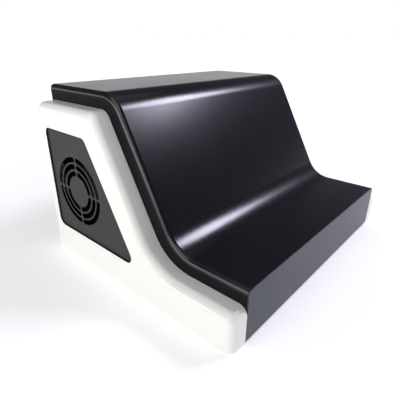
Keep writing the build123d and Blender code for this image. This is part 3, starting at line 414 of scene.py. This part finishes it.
def cover():
    bm = bmesh.new()
    half_inside = HALF_CORE - PLATE
    # Half section: width position, height over the outer face, and its outward direction
    section = [(half_inside, -SHEET, 0, 0), (half_inside, -RIM_TALL, 0, 0), (HALF_CORE, -RIM_TALL, 1, 0)]
    for k in range(ROLL_STEPS + 1):
        roll = math.pi / 2 * k / ROLL_STEPS
        out_x, out_h = math.cos(roll), math.sin(roll)
        section.append((HALF_CORE - ROLL_R * (1 - out_x), ROLL_R * (out_h - 1), out_x, out_h))
    section += [(-x, h, -out_x, out_h) for x, h, out_x, out_h in reversed(section)]

    def station(point, normal, shrink=0.0):
        places = []
        for x, h, out_x, out_h in section:
            p = point + normal * (h - shrink * out_h)
            places.append(Vector((x - shrink * out_x, FRONT + p.x, FLOOR + p.y)))
        return ring(bm, places)

    path = bent(COVER_POINTS, COVER_RADII, BEND_STEPS)
    (front, front_normal), (back, back_normal) = path[0], path[-1]
    ahead = Vector((END_BREAK, 0))
    rings = [station(front, front_normal, END_BREAK), station(front + ahead, front_normal)]
    rings += [station(p, n) for p, n in path[1:-1]]
    rings += [station(back - ahead, back_normal), station(back, back_normal, END_BREAK)]
    for first, second in zip(rings, rings[1:]):
        bridge(bm, first, second)
    bm.faces.new(rings[0])
    bm.faces.new(rings[-1])
    return piece("cover_sheet", bm, "cover_paint", "housing", "top_cover")


cover()

# ---- Front cap: flat face with a softened edge, shallow tray behind ----
CAP_FACE = 1.2 * MM
CAP_WALL = 2 * MM
CAP_BREAK = 0.35 * MM
CAP_MID_BREAK = 0.3
CAP_FOOT_R = 0.5 * MM
CAP_STEPS = 12
TRAY_GAP = 0.3 * MM
TRAY_R = 3 * MM
TRAY_STEPS = 4


def front_cap():
    bm = bmesh.new()
    width, height = HALF_CORE, cap_high.z - cap_low.z
    tray_x, tray_low, tray_high = width - PLATE - TRAY_GAP, TRAY_GAP, height - SHEET - TRAY_GAP

    def face_loop(inset, back):
        corners = [(-width, 0), (width, 0), (width, height), (-width, height)]
        radii = [CAP_FOOT_R, CAP_FOOT_R, ROLL_R, ROLL_R]
        path = rounded(corners, radii, inset, CAP_STEPS)
        return ring(bm, [Vector((p.x, FRONT + back, FLOOR + p.y)) for p in path])

    def tray_loop(inset, back):
        corners = [(-tray_x, tray_low), (tray_x, tray_low), (tray_x, tray_high), (-tray_x, tray_high)]
        path = rounded(corners, [TRAY_R] * 4, inset, TRAY_STEPS)
        return ring(bm, [Vector((p.x, FRONT + back, FLOOR + p.y)) for p in path])

    front = face_loop(CAP_BREAK, 0)
    bm.faces.new(front)
    edge = face_loop(CAP_BREAK * CAP_MID_BREAK, CAP_BREAK * CAP_MID_BREAK)
    side = face_loop(0, CAP_BREAK)
    behind = face_loop(0, CAP_FACE)
    for first, second in zip((front, edge, side), (edge, side, behind)):
        bridge(bm, first, second)
    tray = tray_loop(0, CAP_FACE)
    fill_between(bm, behind, tray)
    tray_end = tray_loop(0, cap_high.y - cap_low.y)
    pocket_end = tray_loop(CAP_WALL, cap_high.y - cap_low.y)
    pocket = tray_loop(CAP_WALL, CAP_WALL)
    for first, second in zip((tray, tray_end, pocket_end), (tray_end, pocket_end, pocket)):
        bridge(bm, first, second)
    bm.faces.new(pocket)
    return piece("front_cap_tray", bm, "front_cap_paint", "housing", "front_cap")


front_cap()

# ---- Vent panels: sunk plates with three rings of curved slots ----
PANEL_SINK = 1.7 * MM
PANEL_GAP = 0.3 * MM
PANEL_FLANGE = 4.8 * MM
PANEL_REAR = 5 * MM
PANEL_BREAK = 0.2 * MM
SLOT_WEB = 1.2 * MM
THIN_R = 41 * MM
FAN_BACK, FAN_UP = 204 * MM, 83.6 * MM
SLOT_OUTER_R = 37 * MM
SLOT_WIDTH = 5.2 * MM
RING_WIDTH = 2.2 * MM
SPOKES = 4
SPOKE_WIDTH = 2 * MM
SLOT_ROWS = 3
SLOT_STEPS = 14
SLOT_END_STEPS = 8
RECESS_STEPS = 96


def slot_outline(middle_r, start, sweep, half_width):
    """Closed curved slot round the fan's axis with round ends, counter-clockwise."""
    def at(radius, angle):
        return Vector((FAN_BACK + radius * math.cos(angle), FAN_UP + radius * math.sin(angle)))

    def end_cap(angle, first_turn):
        centre = at(middle_r, angle)
        turns = [first_turn + math.pi * k / SLOT_END_STEPS for k in range(1, SLOT_END_STEPS)]
        return [centre + half_width * Vector((math.cos(t), math.sin(t))) for t in turns]

    steps = [start + sweep * k / SLOT_STEPS for k in range(SLOT_STEPS + 1)]
    outer = [at(middle_r + half_width, angle) for angle in steps]
    inner = [at(middle_r - half_width, angle) for angle in reversed(steps)]
    return outer + end_cap(start + sweep, start + sweep) + inner + end_cap(start, start + math.pi)


def vent_panel(sign, name):
    bm = bmesh.new()

    def window(inset, inward):
        path = rounded(WINDOW_POINTS, WINDOW_RADII, inset, OUTLINE_STEPS)
        return ring(bm, [at_side(sign, inward, *p) for p in path])

    def slots(grow, inward):
        loops = []
        for row in range(SLOT_ROWS):
            middle_r = SLOT_OUTER_R - SLOT_WIDTH / 2 - row * (SLOT_WIDTH + RING_WIDTH)
            margin = (SPOKE_WIDTH + SLOT_WIDTH) / 2 / middle_r
            for spoke in range(SPOKES):
                start = math.tau * spoke / SPOKES + margin
                path = slot_outline(middle_r, start, math.tau / SPOKES - 2 * margin, SLOT_WIDTH / 2 + grow)
                loops.append(ring(bm, [at_side(sign, inward, *p) for p in path]))
        return loops

    def circle(inward):
        turns = [math.tau * k / RECESS_STEPS for k in range(RECESS_STEPS)]
        path = [(FAN_BACK + THIN_R * math.cos(t), FAN_UP + THIN_R * math.sin(t)) for t in turns]
        return ring(bm, [at_side(sign, inward, *p) for p in path])

    face = window(PANEL_GAP + PANEL_BREAK, PANEL_SINK)
    slots_face = slots(PANEL_BREAK, PANEL_SINK)
    fill_between(bm, face, *slots_face)
    slots_wall = slots(0, PANEL_SINK + PANEL_BREAK)
    slots_end = slots(0, PANEL_SINK + SLOT_WEB)
    for first, second in zip(slots_face + slots_wall, slots_wall + slots_end):
        bridge(bm, first, second)
    recess_floor = circle(PANEL_SINK + SLOT_WEB)
    fill_between(bm, recess_floor, *slots_end)
    recess_mouth = circle(PANEL_REAR)
    bridge(bm, recess_floor, recess_mouth)
    side_top = window(PANEL_GAP, PANEL_SINK + PANEL_BREAK)
    side_foot = window(PANEL_GAP, CHEEK_FACE)
    bridge(bm, face, side_top)
    bridge(bm, side_top, side_foot)
    flange_top = window(-PANEL_FLANGE, CHEEK_FACE)
    flange_foot = window(-PANEL_FLANGE, PANEL_REAR)
    fill_between(bm, side_foot, flange_top)
    bridge(bm, flange_top, flange_foot)
    fill_between(bm, flange_foot, recess_mouth)
    return piece(name, bm, "dark_panel", "housing", name.replace("_grid", ""))


vent_panel(-1, "left_vent_panel_grid")
vent_panel(1, "right_vent_panel_grid")

# ---- Intake grille and its pull tab, on the filter cartridge ----
GRILLE_UP = (grille_low.z + grille_high.z) / 2 - FLOOR
GRILLE_R = 8 * MM
GRILLE_EDGE_R = 1.2 * MM
GRILLE_SLOT = (34 * MM, 4.2 * MM)
GRILLE_PITCH = (42 * MM, 8.6 * MM)
GRILLE_COLUMNS, GRILLE_ROWS = 5, 11
SLOT_BREAK = 0.3 * MM
TAB_R = 3 * MM
TAB_EDGE_R = 0.5 * MM
PLATE_STEPS = 10
PLATE_EDGE_STEPS = 5


def box_corners(low, high):
    """Corners of a box's rear face as (x, up)."""
    bottom, top = low.z - FLOOR, high.z - FLOOR
    return [(low.x, bottom), (high.x, bottom), (high.x, top), (low.x, top)]


def grille_slots(grow):
    """Outlines of the grille's level slots, each widened by grow."""
    half_long, radius = (GRILLE_SLOT[0] - GRILLE_SLOT[1]) / 2, GRILLE_SLOT[1] / 2 + grow
    paths = []
    for column in range(GRILLE_COLUMNS):
        for row in range(GRILLE_ROWS):
            x = (column - (GRILLE_COLUMNS - 1) / 2) * GRILLE_PITCH[0]
            up = GRILLE_UP + (row - (GRILLE_ROWS - 1) / 2) * GRILLE_PITCH[1]
            turns = [math.pi * (k / SLOT_END_STEPS - 0.5) for k in range(SLOT_END_STEPS + 1)]
            right_end = [(x + half_long + radius * math.cos(t), up + radius * math.sin(t)) for t in turns]
            left_end = [(x - half_long - radius * math.cos(t), up - radius * math.sin(t)) for t in turns]
            paths.append(right_end + left_end)
    return paths


def rear_plate(name, slot, body, node, corners, corner_r, edge_r, near, far, holes=None):
    """Flat plate facing the rear with a rounded outer edge and softened holes."""
    bm = bmesh.new()

    def loop(path, back):
        return ring(bm, [Vector((p[0], FRONT + back, FLOOR + p[1])) for p in path])

    rims = []
    for inset, depth in reversed(quarter(edge_r, PLATE_EDGE_STEPS)):
        rims.append(loop(rounded(corners, [corner_r] * 4, inset, PLATE_STEPS), far - depth))
    rims.append(loop(rounded(corners, [corner_r] * 4, 0, PLATE_STEPS), near))
    for first, second in zip(rims, rims[1:]):
        bridge(bm, first, second)
    faces, walls, ends = [], [], []
    if holes:
        faces = [loop(path, far) for path in holes(SLOT_BREAK)]
        walls = [loop(path, far - SLOT_BREAK) for path in holes(0)]
        ends = [loop(path, near) for path in holes(0)]
    for first, second in zip(faces + walls, walls + ends):
        bridge(bm, first, second)
    fill_between(bm, rims[0], *faces)
    fill_between(bm, rims[-1], *ends)
    return piece(name, bm, slot, body, node)


rear_plate(
    "intake_grille_plate", "grille_plastic", "filter_cartridge", "intake_grille",
    box_corners(grille_low, grille_high), GRILLE_R, GRILLE_EDGE_R,
    grille_low.y - FRONT, grille_high.y - FRONT, grille_slots,
)
rear_plate(
    "pull_tab_pad", "tab_rubber", "filter_cartridge", "pull_tab",
    box_corners(tab_low, tab_high), TAB_R, TAB_EDGE_R, tab_low.y - FRONT, tab_high.y - FRONT,
)

# ---- Floor, light and camera ----
# The floor glows as painted light: less by the object than away from it, so a dimmer pool lies round the
# object.
GLOW_NEAR, GLOW_FAR = 0.25, 1.5
GLOW_BY_THE_OBJECT, GLOW_AWAY = 0.38, 0.95
FLOOR_REACH = 30.0


def floor():
    bm = bmesh.new()
    corners = ((-1, -1), (1, -1), (1, 1), (-1, 1))
    bm.faces.new(ring(bm, [Vector((FLOOR_REACH * a, FLOOR_REACH * b, 0)) for a, b in corners]))
    mesh = bpy.data.meshes.new("floor")
    bm.to_mesh(mesh)
    bm.free()
    ground = bpy.data.objects.new("floor", mesh)
    bpy.context.scene.collection.objects.link(ground)
    ground.data.materials.append(procedural(
        "pale_glowing_floor", (0.84, 0.84, 0.84), 0.75, 0.004, 40, 0.00001, 1.5,
        Emission_Color=(1, 1, 1, 1), Specular_IOR_Level=0.2,
    ))
    tree = ground.active_material.node_tree
    where = tree.nodes.new("ShaderNodeTexCoord")
    away = tree.nodes.new("ShaderNodeVectorMath")
    away.operation = "LENGTH"
    glow = tree.nodes.new("ShaderNodeMapRange")
    glow.inputs["From Min"].default_value = GLOW_NEAR
    glow.inputs["From Max"].default_value = GLOW_FAR
    glow.inputs["To Min"].default_value = GLOW_BY_THE_OBJECT
    glow.inputs["To Max"].default_value = GLOW_AWAY
    tree.links.new(where.outputs["Object"], away.inputs[0])
    tree.links.new(away.outputs["Value"], glow.inputs["Value"])
    tree.links.new(glow.outputs["Result"], tree.nodes["Principled BSDF"].inputs["Emission Strength"])


floor()


def softbox(name, toward, distance, size, power, colour=(1, 1, 1)):
    """Area light that faces the object from the direction given."""
    light = bpy.data.lights.new(name, "AREA")
    light.shape = "RECTANGLE"
    light.size, light.size_y = size
    light.energy = power
    light.color = colour
    lamp = bpy.data.objects.new(name, light)
    bpy.context.scene.collection.objects.link(lamp)
    centre = (cad_box[0] + cad_box[1]) / 2
    lamp.location = centre + Vector(toward).normalized() * distance
    lamp.rotation_mode = "QUATERNION"
    lamp.rotation_quaternion = (lamp.location - centre).to_track_quat("Z", "Y")
    lamp.visible_camera = False


softbox("left_key", (-0.97, 0.20, 0.11), 2.0, (2.0, 0.20), 12, (1.0, 0.99, 0.97))
softbox("left_fill", (-0.72, -0.10, 0.66), 2.0, (2.0, 2.0), 18, (1.0, 0.99, 0.96))
softbox("overhead", (0.1, 0.15, 1.0), 1.6, (1.5, 1.5), 2)
softbox("right_front", (0.64, -0.36, 0.68), 1.7, (0.56, 0.44), 17, (0.82, 0.82, 1.0))

# The white backdrop behind the object reaches a little higher than the rest of the horizon
BACKDROP_LEAN = (-0.045, -0.045, 1.0)
BACKDROP_TOP, DARK_FROM = 0.085, 0.15
BACKDROP_WHITE = (1.0, 1.0, 1.0, 1)
UPPER_DARK = (0.09, 0.09, 0.115, 1)

world = bpy.data.worlds.new("studio")
bpy.context.scene.world = world
world.use_nodes = True
sky = world.node_tree
background = sky.nodes["Background"]
background.inputs["Strength"].default_value = 1.0
direction = sky.nodes.new("ShaderNodeTexCoord")
height = sky.nodes.new("ShaderNodeVectorMath")
height.operation = "DOT_PRODUCT"
height.inputs[1].default_value = BACKDROP_LEAN
fade = sky.nodes.new("ShaderNodeValToRGB")
sky.links.new(direction.outputs["Generated"], height.inputs[0])
sky.links.new(height.outputs["Value"], fade.inputs["Fac"])
sky.links.new(fade.outputs["Color"], background.inputs["Color"])
fade.color_ramp.elements[0].position = BACKDROP_TOP
fade.color_ramp.elements[0].color = BACKDROP_WHITE
fade.color_ramp.elements[1].position = DARK_FROM
fade.color_ramp.elements[1].color = UPPER_DARK

CAMERA_YAW = math.radians(41.14)
CAMERA_PITCH = math.radians(24.03)
CAMERA_ROLL = math.radians(0.51)
CAMERA_LENS = 31.91
SENSOR_WIDTH = 36
CLIP_START = 0.01
# The camera's place from the lower front corner of the left cheek's outer face
CAMERA_OFFSET = Vector((-0.17225, -0.11635, 0.22912))

camera_data = bpy.data.cameras.new("camera")
camera_data.sensor_width = SENSOR_WIDTH
camera_data.lens = CAMERA_LENS
camera_data.clip_start = CLIP_START
camera = bpy.data.objects.new("camera", camera_data)
bpy.context.scene.collection.objects.link(camera)
bpy.context.scene.camera = camera
forward = Vector((
    math.cos(CAMERA_YAW) * math.cos(CAMERA_PITCH),
    math.sin(CAMERA_YAW) * math.cos(CAMERA_PITCH),
    -math.sin(CAMERA_PITCH),
))
right = Vector((math.sin(CAMERA_YAW), -math.cos(CAMERA_YAW), 0))
up = right.cross(forward)
rolled_right = right * math.cos(CAMERA_ROLL) + up * math.sin(CAMERA_ROLL)
rolled_up = up * math.cos(CAMERA_ROLL) - right * math.sin(CAMERA_ROLL)
turn = Matrix((rolled_right, rolled_up, -forward)).transposed()
camera.matrix_world = Matrix.Translation(cheek_low + CAMERA_OFFSET) @ turn.to_4x4()

bpy.context.scene.view_settings.view_transform = "Standard"
